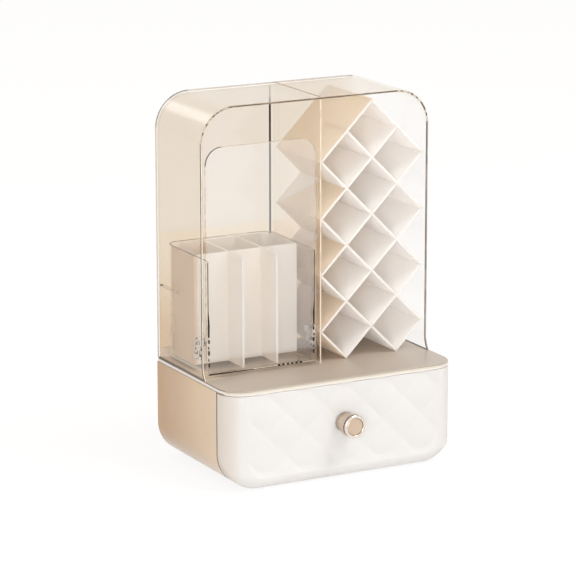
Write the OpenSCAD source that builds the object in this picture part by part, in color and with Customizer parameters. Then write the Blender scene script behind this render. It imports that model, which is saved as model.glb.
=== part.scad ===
/* [Base] */
// Width of the base, side to side
base_w = 240; // [200:1:300]
// Depth of the housing, from the seam behind the drawer front to the back
housing_d = 125; // [100:1:160]
// Height of the housing's side wall
shell_h = 91.6; // [76:0.1:120]
// Radius of the housing's two lower corners, seen from the front
base_r = 33; // [15:0.5:38]
// Wall of the housing
shell_wall = 2.4; // [1.6:0.1:3.5]
// How far the feet stand out under the housing
foot_proud = 1.2; // [0.6:0.1:3]
// Radius of a foot
foot_r = 9; // [6:0.5:12]

/* [Deck] */
// Thickness of the cream deck frame
frame_t = 3.2; // [2.4:0.1:5]
// Thickness of the glossy deck sheet
sheet_t = 1; // [0.8:0.1:2]
// Inset of the sheet from the frame's edge
sheet_inset = 0.4; // [0.4:0.1:3]
// Radius of the deck's front corners in plan
deck_r = 22; // [10:0.5:30]

/* [Drawer] */
// Depth of the drawer front, from its face to the seam
front_d = 25; // [18:0.5:35]
// Wall of the hollow drawer front
front_wall = 2.6; // [2:0.1:4]
// Radius of the drawer front's lower edge, seen from the side
front_edge_r = 12; // [6:0.5:16]
// Wall of the drawer box
box_wall = 2; // [1.5:0.1:3]
// How far the drawer slides out
drawer_travel = 86; // [60:1:90]
// Diagonal repeat of the quilting, along the width
quilt_pitch = 41; // [25:0.5:60]
// How far the quilting's centre lies under the knob's centre
quilt_drop = 3; // [-10:0.5:15]
// Depth of a quilting groove
quilt_depth = 1.2; // [0.5:0.1:2]
// Width of a quilting groove
quilt_groove_w = 4; // [2:0.1:6]

/* [Knob] */
// Radius of the knob's head
knob_r = 11; // [8:0.5:14]
// Reach of the knob in front of the drawer
knob_reach = 20; // [14:0.5:30]
// Height of the knob's centre above the ground
knob_z = 55; // [45:0.5:60]

/* [Hood] */
// Inset of the hood from the deck's two sides
hood_inset = 0.6; // [0.6:0.1:8]
// Height of the hood above the deck
hood_h = 253; // [200:0.2:320]
// Radius of the hood's upper corners
hood_r = 34.3; // [15:0.1:50]
// Wall of the hood, its back and its divider
hood_wall = 2.2; // [1.8:0.1:3]
// Distance from the seam back to the hood's front edge
hood_setback = 30.6; // [20:0.2:40]
// Place of the divider's left face, from the middle
divider_x = 3.4; // [-10:0.1:15]

/* [Lattice] */
// Wall of the lattice slats
slat_t = 2.2; // [1.6:0.1:3]
// Side gap between the lattice and the walls beside it
lattice_gap = 0.2; // [0.1:0.05:1]
// Distance from the hood's front edge back to the lattice
lattice_setback = 4; // [2:0.5:15]
// Thickness of the lattice's back plate
lattice_back_t = 1.6; // [1:0.1:3]

/* [Tilting bin] */
// How far the flap's top lies under the hood's ceiling
flap_drop = 34.7; // [25:0.1:80]
// Radius of the flap's upper corners
flap_r = 17; // [8:0.5:30]
// Thickness of the flap
flap_t = 2.4; // [1.8:0.1:3]
// Gap between the flap and the walls beside it
flap_gap = 2.8; // [0.5:0.1:4]
// Height of the bin's rim above the deck
bin_h = 111; // [90:0.5:125]
// Wall of the bin
bin_wall = 1.6; // [1.6:0.1:2.6]
// Radius of the bin's two back corners in plan
bin_r = 12; // [5:0.5:20]
// Space beside the bin, for the hinge brackets
side_space = 4.7; // [4.6:0.1:7]
// Height of the tilt axis above the deck
pivot_h = 32; // [28:0.5:36]
// Distance of the tilt axis behind the hood's front edge
pivot_setback = 12.9; // [10:0.1:16]
// Radius of a pivot pin
pin_r = 2; // [1.5:0.1:2.5]
// Largest tilt of the bin, in degrees
tilt_max = 22; // [12:1:24]
// Height above the deck of the rib that stops the tilt
rib_h = 68.7; // [60:0.1:80]

/* [Brush insert] */
// Wall of the insert
insert_wall = 2; // [1.4:0.1:3]
// Distance from the flap back to the insert's cross wall
insert_cross = 30; // [26:0.1:44]
// Distance from the flap back to the front ends of the fins
insert_fin = 1; // [0.6:0.1:20]
// Number of cells across
insert_cells = 3; // [2:1:4]
// How far the insert's top lies below the bin's rim
insert_drop = 1.2; // [0:0.1:10]

/* [Hidden] */
$fn = 96;

// Clearances: bonded faces with a curve, sliding plastic, and a pin in its bore
bond_gap = 0.1;
slide_gap = 0.3;
pin_gap = 0.05;
// Clearance of an edge that swings past a face
swing_gap = 0.5;
// Overrun of a cut past the face it opens
cut = 1;

// Depths, from the front (-Y) to the back (+Y)
total_d = housing_d + front_d + knob_reach;
y_back = total_d / 2;
y_seam = y_back - housing_d;
y_front = y_seam - front_d;
y_knob = y_front - knob_reach;
y_hood = y_seam + hood_setback;
y_inner_back = y_back - hood_wall;

// Heights above the ground
z_base = foot_proud;
z_side = z_base + shell_h;
z_deck = z_side + frame_t + sheet_t;
z_top = z_deck + hood_h;

// Housing, and what lies in it
cavity_w = base_w - 2 * shell_wall;
cavity_r = base_r - shell_wall;
cavity_z = z_base + shell_wall;
cover_y = y_back - shell_wall;
flat_x = base_w / 2 - base_r;
rail_w = 8;
rail_margin = 25;
rail_end = 4;
foot_margin = 15;
foot_x = flat_x - foot_margin;
foot_edge = 18;
foot_recess = 1;
buffer_r = 4;
buffer_t = 2.2;
buffer_z = z_base + shell_h / 2;

// Deck
skirt_h = 4;
skirt_t = 2;
deck_back_r = 3;
tongue_t = 1.2;
tongue_l = 14;
tongue_h = 3;
tongue_inset = 16;

// Drawer box, clear of the housing and of the hollow front, and the bar that stops its lug
box_gap = 1.1;
box_under = 2.3;
box_inset = max(shell_wall, front_wall) + box_gap;
box_w = base_w - 2 * box_inset;
box_r = base_r - box_inset;
box_z = z_base + box_inset;
rail_t = box_inset - shell_wall - slide_gap;
box_h = z_side - skirt_h - box_under - box_z;
box_reach = 6;
box_y0 = y_seam - box_reach;
box_y1 = cover_y - buffer_t - slide_gap;
stop_w = 44;
stop_t = 3;
lug_w = 36;
lug_overlap = 1.5;
y_stop = box_y1 - box_wall - drawer_travel - slide_gap;

// Drawer front
seam_gap = 0.5;
top_gap = 0.6;
front_h = shell_h - top_gap;
front_y1 = y_seam - seam_gap;
quilt_side = 19;
quilt_foot = 12;
quilt_r = 16;
quilt_z = knob_z - quilt_drop;
boss_r = 3.6;
boss_inset = 20;
knob_boss_r = 6.6;
knob_bore_r = 4.9;
screw_r = 1.45;
screw_head_r = 2.9;
screw_head_t = 1.8;
screw_l = 10;

// Knob: its stem, neck and face are narrower than its head by these
stem_inset = 1.4;
neck_inset = 2.4;
face_inset = 3.2;
stem_r = knob_r - stem_inset;
neck_r = knob_r - neck_inset;
face_r = knob_r - face_inset;
neck_l = 1.4;
head_l = 8;
head_bevel = 1.6;
face_t = 1;
face_sink = 0.6;
knob_screw_r = 1.95;
knob_screw_head_r = 3.9;
knob_screw_bite = 9;

// Hood
hood_w = base_w - 2 * hood_inset;
hood_inner_w = hood_w - 2 * hood_wall;
hood_inner_r = hood_r - hood_wall;
wall_x = hood_inner_w / 2;
toe_reach = 5;
toe_h = 14;
ledge_h = 9;
ledge_t = 2;
divider_x1 = divider_x + hood_wall;

// Lattice: three columns of square cells on their corners, on a square grid turned by 45 degrees
lattice_w = wall_x - divider_x1 - 2 * lattice_gap;
lattice_x = (wall_x + divider_x1) / 2;
tip = slat_t / sqrt(2);
cell_half = (lattice_w - 2 * tip) / 4;
cell_pitch = cell_half * sqrt(2);
lattice_rows = floor((hood_h - hood_wall - 2 * tip - cell_half) / (2 * cell_half));
lattice_z = z_deck + cell_half + tip;
lattice_y0 = y_hood + lattice_setback;
lattice_y1 = y_inner_back - slide_gap - lattice_back_t;
lattice_mid = (lattice_y0 + lattice_y1) / 2;
// Each slat's place on the grid across its run, and the grid steps where it starts and ends
slat_runs = [for (v = [-1 : lattice_rows]) [v, max(v - 2, -v - 1, -1), min(v + 2, lattice_rows)]];

// Tilt axis, and the radius that the bin's lower back stays within
pivot_y = y_hood + pivot_setback;
pivot_z = z_deck + pivot_h;
sweep_r = y_inner_back - pivot_y - swing_gap - bond_gap;

// Tilting bin: the gap under it lets the flap's lower front edge swing past the deck
bay_x0 = -wall_x;
bay_x1 = divider_x;
bay_mid = (bay_x0 + bay_x1) / 2;
flap_recess = 0.2;
flap_chamfer = 0.8;
flap_w = bay_x1 - bay_x0 - 2 * flap_gap;
flap_y = y_hood + flap_recess;
flap_arm = pivot_y - flap_y - flap_chamfer;
under_gap = pivot_h - sqrt(pow(pivot_h - swing_gap, 2) - pow(flap_arm, 2));
bin_z = z_deck + under_gap;
bin_top = z_deck + bin_h;
bin_w = bay_x1 - bay_x0 - 2 * side_space;
bin_behind = 1.8;
bin_floor = 2.2;
bin_y0 = flap_y + flap_t;
bin_y1 = y_inner_back - bin_behind;

// Hinge brackets and pins
bracket_t = 3.4;
bracket_r = 5.5;
bracket_foot_front = 2.75;
bracket_foot_back = 8;
bracket_drop = 16;
pin_head_r = 3.6;
pin_head_t = 1;
pin_bite = 3;

// Pads on the deck that the bin's floor rests on
rest_r = 4;
rest_inset = 20;
rest_behind = 24;
rest_y = y_inner_back - rest_behind;
rest_x = bin_w / 2 - rest_inset;

// Stop rib on the hood's left wall, and the tab on the bin that meets it at full tilt
rib_z = z_deck + rib_h;
rib_t = 2;
rib_reach = 3.4;
rib_l = 35;
tab_t = 3.2;
tab_d = 6;
tab_behind = 16.8;
tab_low = 7;
tab_y1 = y_inner_back - tab_behind;
tab_arm = tab_y1 - pivot_y;
tab_rise = (rib_z - pivot_z - slide_gap - tab_arm * sin(tilt_max)) / cos(tilt_max);

// Brush insert
insert_gap = 0.3;
insert_inset = bin_wall + insert_gap;
insert_w = bin_w - 2 * insert_inset;
insert_z = bin_z + bin_floor + slide_gap;
insert_top = bin_top - insert_drop;
insert_floor = 1.6;
insert_pitch = (insert_w - insert_wall) / insert_cells;

// Draws an outline in X and Z and runs it along Y
module along_y(y0, y1) {
    translate([0, y1, 0])
        rotate([90, 0, 0])
            linear_extrude(y1 - y0)
                children();
}

// Draws an outline in Y and Z and runs it along X
module along_x(x0, x1) {
    translate([x0, 0, 0])
        rotate([90, 0, 90])
            linear_extrude(x1 - x0)
                children();
}

// Rectangle on the X axis with its two lower corners rounded
module tub_outline(w, h, r) {
    translate([-w / 2, r])
        square([w, h - r]);
    translate([-w / 2 + r, 0])
        square([w - 2 * r, h]);
    for (s = [-1, 1])
        translate([s * (w / 2 - r), r])
            circle(r);
}

// The same with its two upper corners rounded
module arch_outline(w, h, r) {
    translate([0, h])
        mirror([0, 1])
            tub_outline(w, h, r);
}

// Plan of the deck, drawn smaller all round by inset
module deck_outline(inset) {
    w = base_w - 2 * inset;
    d = front_d + housing_d - 2 * inset;
    r = deck_r - inset;
    translate([0, y_front + inset + d / 2])
        intersection() {
            translate([0, -d / 2])
                tub_outline(w, d, r);
            translate([0, -d / 2])
                arch_outline(w, d, deck_back_r);
        }
}

// Everything above the tilt axis, and below it only what lies within r of the axis
module sweep_limit(r) {
    along_x(bay_x0, bay_x1) {
        translate([pivot_y, pivot_z])
            circle(r);
        translate([y_hood, pivot_z])
            square([y_back - y_hood, z_top - pivot_z]);
    }
}

// Base
module housing_shell() {
    color("#d6c0a4")
        difference() {
            translate([0, 0, z_base])
                along_y(y_seam, y_back)
                    difference() {
                        tub_outline(base_w, shell_h, base_r);
                        translate([0, shell_wall])
                            tub_outline(cavity_w, shell_h, cavity_r);
                    }
            foot_places()
                translate([0, 0, z_base - cut])
                    cylinder(h = foot_recess + cut, r = foot_r + bond_gap);
        }
}

module rear_cover() {
    w = cavity_w - 2 * bond_gap;
    h = shell_h - shell_wall - bond_gap;
    color("#d2bca0")
        translate([0, 0, cavity_z + bond_gap])
            along_y(cover_y, y_back)
                tub_outline(w, h, cavity_r - bond_gap);
}

module glide_rails() {
    color("#f2efe8")
        for (s = [-1, 1])
            translate([s * (flat_x - rail_margin) - rail_w / 2, y_seam + rail_end, cavity_z])
                cube([rail_w, cover_y - y_seam - 2 * rail_end, rail_t]);
}

module foot_places() {
    for (x = [-foot_x, foot_x], y = [y_seam + foot_edge, y_back - foot_edge])
        translate([x, y, 0])
            children();
}

module feet() {
    color("#b9ac9c")
        foot_places()
            cylinder(h = foot_proud + foot_recess, r = foot_r);
}

module drawer_buffers() {
    color("#b9ac9c")
        for (s = [-1, 1])
            translate([s * foot_x, cover_y, buffer_z])
                rotate([90, 0, 0])
                    cylinder(h = buffer_t, r = buffer_r);
}

// Deck
module hood_tongue_places() {
    for (s = [-1, 1], y = [y_hood + tongue_inset, y_back - tongue_inset - tongue_l])
        translate([s * (wall_x + tongue_t / 2), y, 0])
            children();
}

module tongue_slots() {
    w = tongue_t + 2 * bond_gap;
    hood_tongue_places()
        translate([-w / 2, -bond_gap, z_deck - tongue_h - bond_gap])
            cube([w, tongue_l + 2 * bond_gap, tongue_h + cut]);
}

module deck_frame() {
    skirt_x = cavity_w / 2 - bond_gap - skirt_t;
    color("#efe7da")
        difference() {
            union() {
                translate([0, 0, z_side])
                    linear_extrude(frame_t)
                        deck_outline(0);
                for (s = [0, 1])
                    mirror([s, 0, 0])
                        translate([skirt_x, y_seam + rail_end, z_side - skirt_h])
                            cube([skirt_t, cover_y - y_seam - 2 * rail_end, skirt_h + cut]);
                translate([-stop_w / 2, y_stop - stop_t, z_side - skirt_h])
                    cube([stop_w, stop_t, skirt_h + cut]);
            }
            tongue_slots();
        }
}

module deck_sheet() {
    color("#ae9f8d")
        difference() {
            translate([0, 0, z_side + frame_t])
                linear_extrude(sheet_t)
                    deck_outline(sheet_inset);
            tongue_slots();
        }
}

// Drawer
module screw_places() {
    for (x = [-flat_x, flat_x], z = [z_base + boss_inset, z_base + front_h - boss_inset])
        translate([x, 0, z])
            rotate([90, 0, 0])
                children();
}

// Round bar along the knob's axis between two depths
module knob_bar(y0, y1, r) {
    translate([0, y1, knob_z])
        rotate([90, 0, 0])
            cylinder(h = y1 - y0, r = r);
}

module drawer_box() {
    color("#f4f1eb")
        difference() {
            union() {
                translate([0, 0, box_z])
                    along_y(box_y0, box_y1)
                        tub_outline(box_w, box_h, box_r);
                translate([-lug_w / 2, box_y1 - box_wall, box_z + box_h - cut])
                    cube([lug_w, box_wall, cut + box_under + lug_overlap]);
            }
            translate([0, 0, box_z + box_wall])
                along_y(box_y0 + box_wall, box_y1 - box_wall)
                    tub_outline(box_w - 2 * box_wall, box_h, box_r - box_wall);
            translate([0, box_y0 + box_wall + cut, 0])
                screw_places()
                    cylinder(h = box_wall + 2 * cut, r = screw_r + bond_gap);
            knob_bar(box_y0 - cut, box_y0 + box_wall + cut, knob_bore_r);
        }
}

// Section of the drawer front at its rounded edge: out from a corner's centre, and back from the face
module front_rim_outline(inset) {
    reach = base_r - inset;
    r = front_edge_r - inset;
    d = front_y1 + cut - y_front - inset;
    square([reach - r, d]);
    translate([0, r])
        square([reach, d - r]);
    translate([reach - r, r])
        circle(r);
}

// Solid that the drawer front is cut from: lower edge and corners rounded, sides as the deck's plan
module front_body(inset) {
    z_centre = z_base + base_r;
    z1 = z_base + front_h - inset;
    intersection() {
        union() {
            for (s = [-1, 1])
                translate([s * flat_x, y_front + inset, z_centre])
                    rotate([-90, 0, 0])
                        rotate_extrude()
                            front_rim_outline(inset);
            along_x(-flat_x, flat_x) {
                translate([y_front + inset, z_centre])
                    rotate(-90)
                        front_rim_outline(inset);
                translate([y_front + inset, z_centre])
                    square([front_y1 + cut - y_front - inset, z1 - z_centre]);
            }
            translate([-base_w / 2 + inset, y_front + inset, z_centre])
                cube([base_w - 2 * inset, front_y1 + cut - y_front - inset, z1 - z_centre]);
        }
        linear_extrude(z1)
            translate([0, y_front + inset])
                tub_outline(base_w - 2 * inset, total_d, deck_r - inset);
    }
}

// One long groove of triangular section, lying along X on the face
module groove(l) {
    side = quilt_groove_w / 2;
    rotate([90, 0, 90])
        linear_extrude(l, center = true)
            polygon([[-cut, side], [0, side], [quilt_depth, 0], [0, -side], [-cut, -side]]);
}

// The grooves both ways, kept inside the quilted panel
module quilting() {
    reach = base_w / 2 + shell_h;
    count = ceil(reach / quilt_pitch);
    intersection() {
        for (s = [-1, 1], k = [-count : count])
            translate([k * quilt_pitch, y_front, quilt_z])
                rotate([0, s * 45, 0])
                    groove(2 * reach);
        translate([0, 0, z_base + quilt_foot])
            along_y(y_front - cut, y_front + quilt_depth + cut)
                tub_outline(base_w - 2 * quilt_side, front_h, quilt_r);
    }
}

module drawer_front() {
    color("#f8f6f2")
        difference() {
            union() {
                difference() {
                    intersection() {
                        front_body(0);
                        translate([-base_w, y_front - cut, 0])
                            cube([2 * base_w, front_y1 - y_front + cut, z_top]);
                    }
                    front_body(front_wall);
                }
                translate([0, box_y0, 0])
                    screw_places()
                        cylinder(h = box_y0 - y_front - front_wall / 2, r = boss_r);
                knob_bar(y_front + front_wall / 2, box_y0, knob_boss_r);
            }
            quilting();
            translate([0, box_y0 + cut, 0])
                screw_places()
                    cylinder(h = screw_l - box_wall + 2 * cut, r = screw_r + pin_gap);
            knob_bar(y_front - cut, box_y0 + cut, knob_screw_r + bond_gap);
        }
}

module front_screws() {
    color("#c9c9c9")
        translate([0, box_y0 + box_wall, 0])
            screw_places() {
                cylinder(h = screw_l, r = screw_r);
                translate([0, 0, -screw_head_t])
                    cylinder(h = screw_head_t, r = screw_head_r);
            }
}

// Knob
module knob_body() {
    head_at = knob_reach - head_l;
    color("#cbb9a6")
        difference() {
            translate([0, y_front, knob_z])
                rotate([90, 0, 0])
                    rotate_extrude()
                        polygon([
                            [0, 0], [stem_r, 0],
                            [stem_r, head_at - neck_l], [neck_r, head_at - neck_l],
                            [neck_r, head_at], [knob_r, head_at],
                            [knob_r, knob_reach - head_bevel], [knob_r - head_bevel, knob_reach],
                            [0, knob_reach]
                        ]);
            knob_bar(y_knob - cut, y_knob + face_sink + face_t, face_r + bond_gap);
            knob_bar(y_front - knob_screw_bite - cut, y_front + cut, knob_screw_r + pin_gap);
        }
}

module knob_face() {
    color("#d9c9b8")
        knob_bar(y_knob + face_sink, y_knob + face_sink + face_t, face_r);
}

module knob_screw() {
    color("#c9c9c9") {
        knob_bar(y_front - knob_screw_bite, box_y0, knob_screw_r);
        knob_bar(box_y0, box_y0 + box_wall, knob_screw_head_r);
    }
}

// Hood
module hood_toe() {
    r = (toe_h * toe_h + toe_reach * toe_reach) / (2 * toe_reach);
    difference() {
        translate([y_hood - toe_reach, z_deck])
            square([toe_reach + cut, toe_h]);
        translate([y_hood - r, z_deck + toe_h])
            circle(r);
    }
}

module hood_arch() {
    color("#e2c9a8", 0.5) {
        translate([0, 0, z_deck])
            along_y(y_hood, y_back)
                difference() {
                    arch_outline(hood_w, hood_h, hood_r);
                    translate([0, -hood_wall])
                        arch_outline(hood_inner_w, hood_h, hood_inner_r);
                }
        for (s = [0, 1])
            mirror([s, 0, 0])
                along_x(wall_x, hood_w / 2)
                    hood_toe();
        hood_tongue_places()
            translate([-tongue_t / 2, 0, z_deck - tongue_h])
                cube([tongue_t, tongue_l, tongue_h + cut]);
    }
}

module hood_back() {
    w = hood_inner_w - 2 * bond_gap;
    h = hood_h - hood_wall - bond_gap;
    color("#e8d6bd", 0.5)
        translate([0, 0, z_deck])
            along_y(y_inner_back, y_back)
                arch_outline(w, h, hood_inner_r - bond_gap);
}

module divider() {
    color("#e8d6bd", 0.5)
        translate([divider_x, y_hood, z_deck])
            cube([hood_wall, y_inner_back - y_hood, hood_h - hood_wall]);
}

module back_ledge() {
    color("#efe4d2", 0.7)
        translate([-wall_x, y_inner_back - ledge_t, z_deck])
            cube([divider_x + wall_x, ledge_t, ledge_h]);
}

// Lattice
// One family of slats, notched to half its depth wherever the other family crosses it
module slat_family(flip, notch_y0, notch_y1) {
    notch_w = slat_t + 2 * bond_gap;
    slat_d = lattice_y1 - lattice_y0;
    translate([lattice_x, 0, lattice_z])
        mirror([flip, 0, 0])
            rotate([0, -45, 0])
                for (run = slat_runs)
                    translate([0, 0, run[0] * cell_pitch - slat_t / 2])
                        difference() {
                            translate([run[1] * cell_pitch - slat_t / 2, lattice_y0, 0])
                                cube([(run[2] - run[1]) * cell_pitch + slat_t, slat_d, slat_t]);
                            for (i = [run[1] : run[2]])
                                translate([i * cell_pitch - notch_w / 2, notch_y0, -cut])
                                    cube([notch_w, notch_y1 - notch_y0, slat_t + 2 * cut]);
                        }
}

module lattice_rising() {
    color("#fbf7f0")
        slat_family(0, lattice_y0 - cut, lattice_mid + bond_gap / 2);
}

module lattice_falling() {
    color("#fbf7f0")
        slat_family(1, lattice_mid - bond_gap / 2, lattice_y1 + cut);
}

module lattice_back() {
    side = cell_pitch + slat_t;
    color("#f4efe6")
        translate([lattice_x, 0, lattice_z])
            along_y(lattice_y1, lattice_y1 + lattice_back_t)
                for (column = [-1 : 1], row = [0 : lattice_rows - 1])
                    translate([column * cell_half, (2 * row + 1 - abs(column)) * cell_half])
                        rotate(45)
                            square(side, center = true);
}

// Fixed hinge parts
module bracket_outline() {
    translate([pivot_y, pivot_z])
        circle(bracket_r);
    polygon([
        [pivot_y - bracket_r, pivot_z],
        [pivot_y + bracket_r, pivot_z],
        [pivot_y + bracket_foot_back, pivot_z - bracket_drop],
        [pivot_y - bracket_foot_front, pivot_z - bracket_drop]
    ]);
}

module hinge_brackets() {
    bore_r = pin_r + pin_gap;
    color("#f0e8dc", 0.6)
        for (x0 = [bay_x0, bay_x1 - bracket_t])
            along_x(x0, x0 + bracket_t)
                difference() {
                    bracket_outline();
                    translate([pivot_y, pivot_z])
                        circle(bore_r);
                }
}

module stop_rib() {
    color("#e2c9a8", 0.6)
        translate([-wall_x, y_inner_back - rib_l, rib_z])
            cube([rib_reach, rib_l, rib_t]);
}

module bin_rests() {
    color("#f0e8dc", 0.6)
        for (s = [-1, 1])
            translate([bay_mid + s * rest_x, rest_y, z_deck])
                cylinder(h = under_gap - slide_gap, r = rest_r);
}

// Tilting bin
module flap_panel() {
    color("#f3ece2", 0.5)
        translate([bay_mid, 0, bin_z])
            difference() {
                along_y(flap_y, flap_y + flap_t)
                    arch_outline(flap_w, z_top - hood_wall - flap_drop - bin_z, flap_r);
                translate([0, flap_y, 0])
                    rotate([45, 0, 0])
                        cube([base_w, flap_chamfer * sqrt(2), flap_chamfer * sqrt(2)], center = true);
            }
}

// Plan of the bin, drawn smaller by inset at the sides and the back
module bin_plan(inset, y0) {
    w = bin_w - 2 * inset;
    y1 = bin_y1 - inset;
    translate([bay_mid, y0])
        arch_outline(w, y1 - y0, bin_r - inset);
}

module bin_shell() {
    side_x = bin_w / 2;
    color("#f3ece2", 0.5)
        difference() {
            intersection() {
                translate([0, 0, bin_z])
                    linear_extrude(bin_top - bin_z)
                        bin_plan(0, bin_y0);
                sweep_limit(sweep_r);
            }
            intersection() {
                translate([0, 0, bin_z + bin_floor])
                    linear_extrude(bin_top)
                        bin_plan(bin_wall, bin_y0 - cut);
                sweep_limit(sweep_r - bin_wall);
            }
            translate([bay_mid - side_x - cut, pivot_y, pivot_z])
                rotate([0, 90, 0])
                    cylinder(h = bin_w + 2 * cut, r = pin_r + pin_gap);
        }
}

module hinge_pins() {
    inner = bin_w / 2 - bin_wall;
    outer = bin_w / 2 + side_space - bracket_t + pin_bite;
    color("#d0cbc2")
        for (s = [0, 1])
            translate([bay_mid, pivot_y, pivot_z])
                mirror([s, 0, 0])
                    rotate([0, 90, 0]) {
                        translate([0, 0, inner])
                            cylinder(h = outer - inner, r = pin_r);
                        translate([0, 0, inner - pin_head_t])
                            cylinder(h = pin_head_t, r = pin_head_r);
                    }
}

module stop_tab() {
    color("#f3ece2", 0.6)
        translate([bay_mid - bin_w / 2 - tab_t, tab_y1 - tab_d, z_deck + tab_low])
            cube([tab_t, tab_d, pivot_h + tab_rise - tab_low]);
}

// Brush insert
module brush_insert() {
    y0 = bin_y0 + insert_cross;
    y_fin = bin_y0 + insert_fin;
    h = insert_top - insert_z;
    left = bay_mid - insert_w / 2;
    color("#f6f3ee")
        intersection() {
            union() {
                difference() {
                    translate([0, 0, insert_z])
                        linear_extrude(h)
                            bin_plan(insert_inset, y0);
                    for (k = [0 : insert_cells - 1])
                        insert_cell(left + k * insert_pitch + insert_wall, y0 + insert_wall);
                }
                for (k = [1 : insert_cells - 1])
                    translate([left + k * insert_pitch, y_fin, insert_z])
                        cube([insert_wall, y0 - y_fin + cut, h]);
            }
            sweep_limit(sweep_r - insert_inset);
        }
}

// Room of one back cell, kept clear of the insert's rounded and swept walls
module insert_cell(x0, y0) {
    w = insert_pitch - insert_wall;
    intersection() {
        translate([x0, y0, insert_z + insert_floor])
            cube([w, y_back - y0, insert_top]);
        linear_extrude(z_top)
            bin_plan(insert_inset + insert_wall, y0 - cut);
        sweep_limit(sweep_r - insert_inset - insert_wall);
    }
}

housing_shell();
rear_cover();
glide_rails();
feet();
drawer_buffers();
deck_frame();
deck_sheet();
drawer_box();
drawer_front();
front_screws();
knob_body();
knob_face();
knob_screw();
hood_arch();
hood_back();
divider();
back_ledge();
lattice_rising();
lattice_falling();
lattice_back();
hinge_brackets();
stop_rib();
bin_rests();
flap_panel();
bin_shell();
hinge_pins();
stop_tab();
brush_insert();
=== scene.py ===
import math

import bpy
from mathutils import Matrix, Vector


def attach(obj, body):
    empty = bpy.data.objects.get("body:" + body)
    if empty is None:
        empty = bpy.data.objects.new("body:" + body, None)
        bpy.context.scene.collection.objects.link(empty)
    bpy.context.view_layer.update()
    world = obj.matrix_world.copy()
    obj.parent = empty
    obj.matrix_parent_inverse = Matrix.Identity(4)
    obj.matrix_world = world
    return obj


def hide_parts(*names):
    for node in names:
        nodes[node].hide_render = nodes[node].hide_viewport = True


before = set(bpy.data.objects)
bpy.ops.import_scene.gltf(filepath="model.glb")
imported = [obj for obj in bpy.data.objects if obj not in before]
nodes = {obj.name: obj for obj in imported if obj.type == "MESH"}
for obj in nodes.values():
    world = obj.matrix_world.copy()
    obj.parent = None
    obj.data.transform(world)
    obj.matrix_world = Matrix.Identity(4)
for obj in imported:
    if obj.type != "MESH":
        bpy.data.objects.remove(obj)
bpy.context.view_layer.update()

# Everything is written in millimetres and made in metres
MM = 0.001
# Thickness of a glued joint: it keeps the faces of two clear walls apart
GLUE = 0.05

# Sizes of the CAD model
HALF_W = 120.0
Y_FRONT = -65.0
Y_SEAM = -40.0
Y_BACK = 85.0
Y_INNER_BACK = 82.8
Y_HOOD = -9.4
Z_BASE = 1.2
Z_SIDE = 92.8
Z_SHEET = 96.0
Z_DECK = 97.0
Z_TOP = 350.0
BASE_R = 33.0
SHELL_WALL = 2.4
DECK_R = 22.0
DECK_BACK_R = 3.0
SHEET_INSET = 0.4
FRONT_Y1 = -40.5
FRONT_TOP = 92.2
FRONT_WALL = 2.6
FRONT_EDGE_R = 12.0
QUILT_PITCH = 41.0
QUILT_Z = 52.0
QUILT_SIDE = 101.0
QUILT_FOOT = 13.2
QUILT_R = 16.0
HOOD_HALF = 119.4
HOOD_R = 34.3
HOOD_WALL = 2.2
WALL_X = 117.2
DIVIDER_X = (3.4, 5.6)
DIVIDER_TOP = 347.8
BACK_TOP = 347.7
BACK_R = 32.0
KNOB_Z = 55.0
PIVOT = (3.5, 129.0)
FLAP_X = (-114.4, 0.6)
FLAP_Z = (99.83, 313.1)
FLAP_FACE = -9.2
FLAP_BACK = -6.8
BIN_X = (-112.5, -1.3)
BIN_WALL = 1.6
BIN_TOP = 208.0
BIN_FLOOR_T = 2.2
BIN_BACK_R = 12.0
BACK_CUT_R = 78.7
LUG_FACE = -113.8

# Corner radii of a plain rectangle
SQUARE = (0, 0, 0, 0)
# Rims further back than this meet the back panel
NEAR_BACK = 80.0

# Heights between which the clear walls turn from a deep tint to a pale one: the deeper tint below is a
# painted reflection of the horizon behind
REFLECTED_HORIZON = (213, 219)
# Places, to the left and from the front, between which the insert takes the painted shade of its left wall
INSERT_SHADE_LEFT = (-107, -108.5)
INSERT_SHADE_FRONT = (8, 11)
# Share of light that a clear wall mirrors at a grazing angle
GRAZING = 0.5

# Sockets of a mix node that hold its two colours and its result
MIX_A, MIX_B, MIX_OUT = 6, 7, 2


# Node graphs


def rgb(r, g, b):
    """Linear colour of a display colour given from 0 to 255."""
    out = []
    for c in (r / 255, g / 255, b / 255):
        out.append(c / 12.92 if c < 0.04045 else ((c + 0.055) / 1.055) ** 2.4)
    return (*out, 1.0)


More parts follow.
